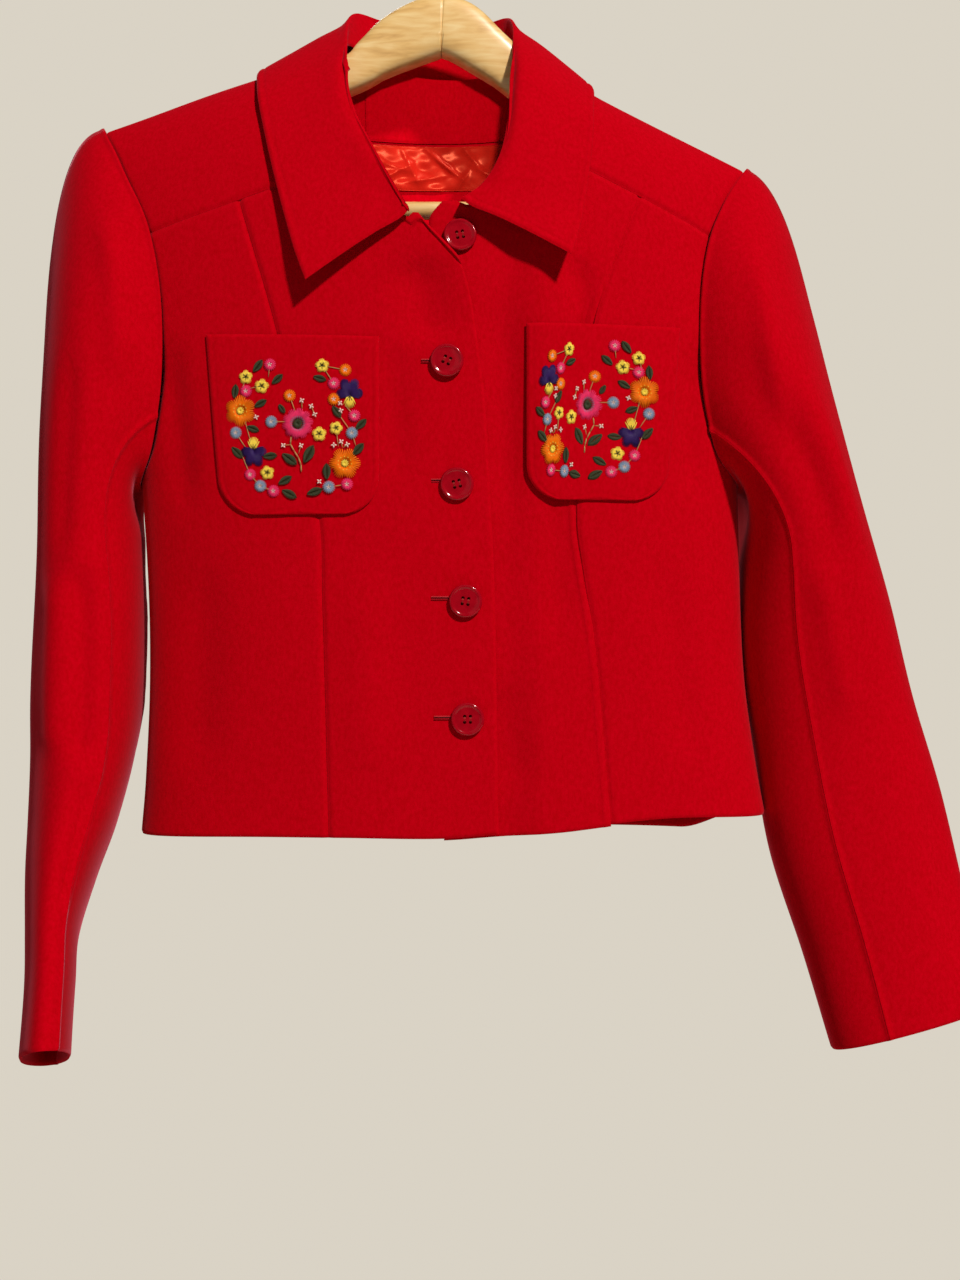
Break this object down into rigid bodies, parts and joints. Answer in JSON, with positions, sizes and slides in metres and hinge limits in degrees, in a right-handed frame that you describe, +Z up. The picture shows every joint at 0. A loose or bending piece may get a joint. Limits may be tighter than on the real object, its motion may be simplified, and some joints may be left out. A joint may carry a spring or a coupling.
{
  "type": "cropped wool jacket on a wooden hanger",
  "caption": "Cropped wool jacket with a pointed collar, front yokes, patch pockets and long sleeves, hung on a shaped wooden hanger with a wire hook.",
  "frame": {"origin": "the point of the hook that bears on the rail", "axes": "+Z up; +X towards the wearer's left; the front faces -Y"},
  "size_m": [0.6261, 0.2161, 0.7738],
  "materials": {
    "wool": "red boiled wool, matt with a soft nap",
    "satin": "orange-red satin lining, soft gloss",
    "button": "dark red polished",
    "wood": "clear-varnished pale wood",
    "steel": "plated wire"
  },
  "bodies": {
    "root": {"back": "wool", "back_lining": "satin", "back_neck_facing": "wool", "button_1": "button", "button_2": "button", "button_3": "button", "button_4": "button", "button_5": "button", "collar": "wool", "front_left": "wool", "front_right": "wool", "hanger_arms": "wood", "hook": "steel", "pocket_left": "wool", "pocket_right": "wool", "side_front_left": "wool", "side_front_right": "wool", "trouser_bar": "wood", "under_sleeve_left": "wool", "under_sleeve_right": "wool", "upper_sleeve_left": "wool", "upper_sleeve_right": "wool", "yoke_left": "wool", "yoke_right": "wool"}
  },
  "joints": []
}
